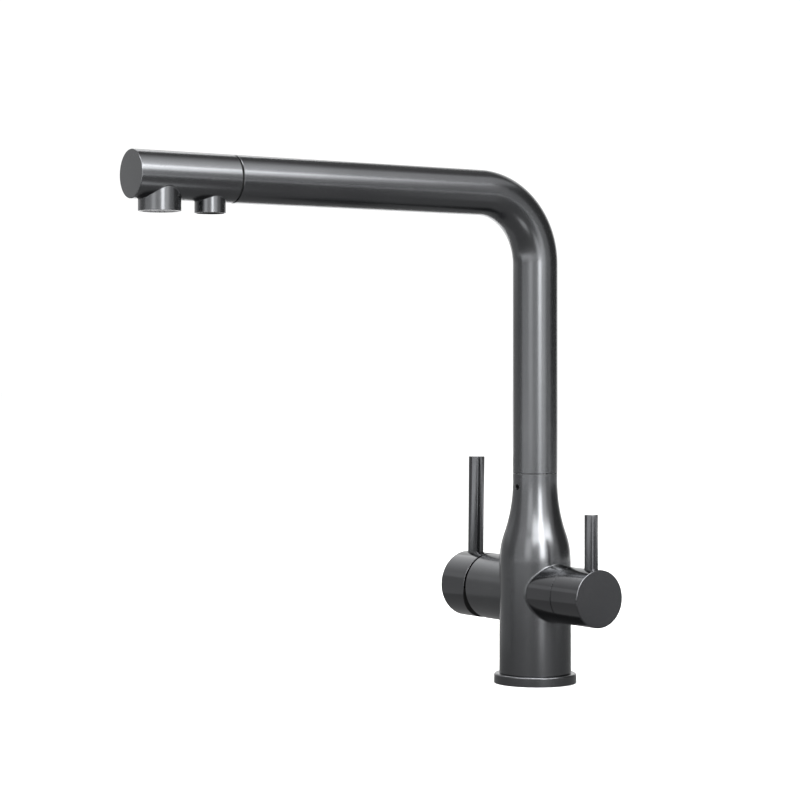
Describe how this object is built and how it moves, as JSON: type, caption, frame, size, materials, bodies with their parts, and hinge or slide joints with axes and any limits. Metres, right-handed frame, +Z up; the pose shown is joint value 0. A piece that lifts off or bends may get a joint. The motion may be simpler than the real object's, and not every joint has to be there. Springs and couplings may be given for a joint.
{
  "type": "kitchen mixer tap with filtered water outlet",
  "caption": "Kitchen mixer tap: bottle-shaped body on a ring foot, turning right-angled tube spout with a wide and a narrow outlet, mixer handle on one side and filter handle on the other.",
  "frame": {"origin": "centre of the foot on the deck, under the spout's turning axis", "axes": "+Z up along the swivel axis, -Y along the spout, +X to the filter handle, -X to the mixer"},
  "size_m": [0.1386, 0.3082, 0.3195],
  "materials": {
    "satin_gunmetal": "dark gunmetal coating, satin",
    "gloss_gunmetal": "dark gunmetal coating, finely brushed and glossier",
    "brass": "machined",
    "steel": "machined",
    "rubber": "matt",
    "ceramic": "lapped ceramic",
    "cartridge_plastic": "moulded",
    "glide_plastic": "moulded, smooth",
    "dark_plastic": "moulded",
    "silver_plastic": "moulded, silver grey",
    "clear_hose": "food-grade hose"
  },
  "bodies": {
    "tap_body": {"body_casting": "satin_gunmetal", "inlet_block": "brass", "mixer_barrel": "satin_gunmetal", "filter_barrel": "gloss_gunmetal", "foot_ring": "satin_gunmetal", "foot_seal": "rubber", "swivel_washer": "glide_plastic", "swivel_screw": "steel", "filter_socket": "brass", "socket_o_ring": "rubber", "cartridge_case": "cartridge_plastic", "cartridge_base": "cartridge_plastic", "cartridge_seals": "rubber", "cartridge_fixed_disc": "ceramic", "cartridge_nut": "brass", "filter_valve_body": "brass", "filter_valve_seal": "rubber", "filter_fixed_disc": "ceramic"},
    "spout": {"spout_tube": "satin_gunmetal", "swivel_insert": "brass", "swivel_o_rings": "rubber", "swivel_glide_ring": "glide_plastic", "filter_tube": "clear_hose", "nose_adapter": "brass", "nose_seal": "rubber", "nose_housing": "satin_gunmetal", "filter_elbow": "glide_plastic", "filter_outlet_insert": "dark_plastic", "aerator_ring": "silver_plastic", "aerator_grille": "silver_plastic", "aerator_core": "silver_plastic", "aerator_washer": "rubber"},
    "mixer_rotor": {"cartridge_rotor": "cartridge_plastic", "cartridge_pin": "steel"},
    "mixing_disc": {"cartridge_sliding_disc": "ceramic", "disc_carrier": "glide_plastic"},
    "mixer_handle": {"cartridge_stem": "brass", "mixer_knob": "gloss_gunmetal", "mixer_lever": "gloss_gunmetal", "mixer_knob_screw": "steel"},
    "filter_handle": {"filter_spindle": "brass", "filter_turning_disc": "ceramic", "filter_spindle_o_ring": "rubber", "filter_knob": "gloss_gunmetal", "filter_lever": "gloss_gunmetal", "filter_knob_screw": "steel"}
  },
  "joints": [
    {"name": "spout_swivel", "type": "hinge", "parent": "tap_body", "child": "spout", "pos_m": [0, 0, 0.1314], "axis": [0, 0, 1], "continuous": true},
    {"name": "mixer_temperature", "type": "hinge", "parent": "tap_body", "child": "mixer_rotor", "pos_m": [-0.034, 0, 0.0573], "axis": [1, 0, 0], "range_deg": [-45, 45]},
    {"name": "mixer_flow", "type": "hinge", "parent": "mixer_rotor", "child": "mixer_handle", "pos_m": [-0.034, 0, 0.0573], "axis": [0, -1, 0], "range_deg": [0, 18]},
    {"name": "mixing_disc_slide", "type": "slide", "parent": "mixer_rotor", "child": "mixing_disc", "axis": [0, 0, 1], "range_m": [0, 0.0023]},
    {"name": "filter_turn", "type": "hinge", "parent": "tap_body", "child": "filter_handle", "pos_m": [0.03, 0, 0.0573], "axis": [1, 0, 0], "range_deg": [0, 90]}
  ],
  "couplings": [
    {"joint": "mixing_disc_slide", "follows": "mixer_flow", "m_per_rad": 0.007}
  ]
}
